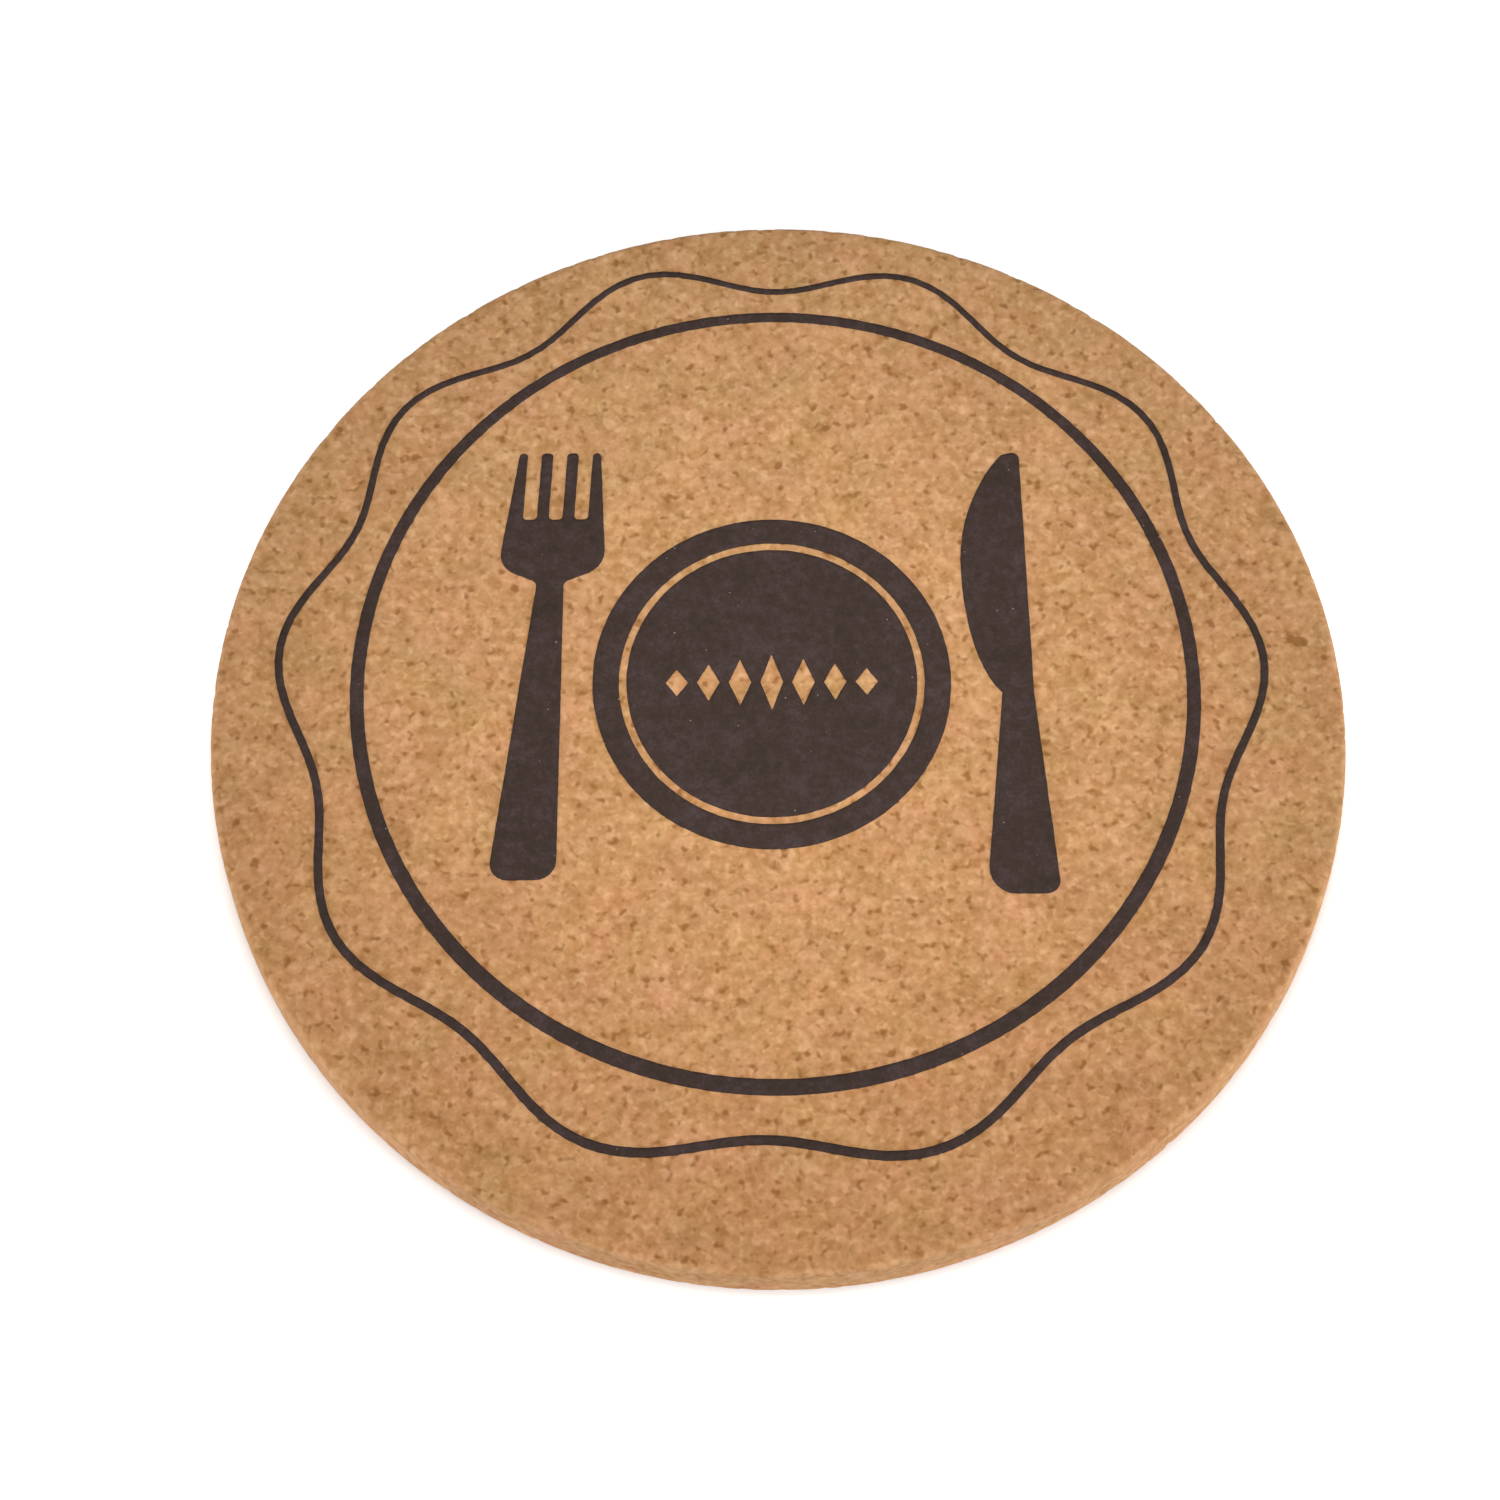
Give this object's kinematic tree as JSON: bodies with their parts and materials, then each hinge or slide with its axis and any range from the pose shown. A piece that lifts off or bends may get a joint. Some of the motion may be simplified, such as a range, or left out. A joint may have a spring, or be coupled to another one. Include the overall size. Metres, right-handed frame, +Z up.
{
  "type": "cork coaster",
  "caption": "Round pressed-cork coaster with a dark screen-printed table setting on top: fork, plate and knife inside a circle line and a scalloped line. Protects a table under a glass or mug.",
  "frame": {"origin": "middle of the underside, on the table", "axes": "+Z up out of the printed face; +Y towards the fork's tines and the knife's tip; +X from the fork to the knife"},
  "size_m": [0.1, 0.1, 0.0051],
  "materials": {
    "pressed_cork": "fine pressed cork granules, sanded face, cut edge, matt",
    "screen_ink": "very dark brown screen-printed ink, low sheen"
  },
  "bodies": {
    "root": {"cork_disc": "pressed_cork", "scalloped_border_print": "screen_ink", "circle_border_print": "screen_ink", "fork_print": "screen_ink", "knife_print": "screen_ink", "plate_rim_print": "screen_ink", "plate_well_print": "screen_ink"}
  },
  "joints": []
}
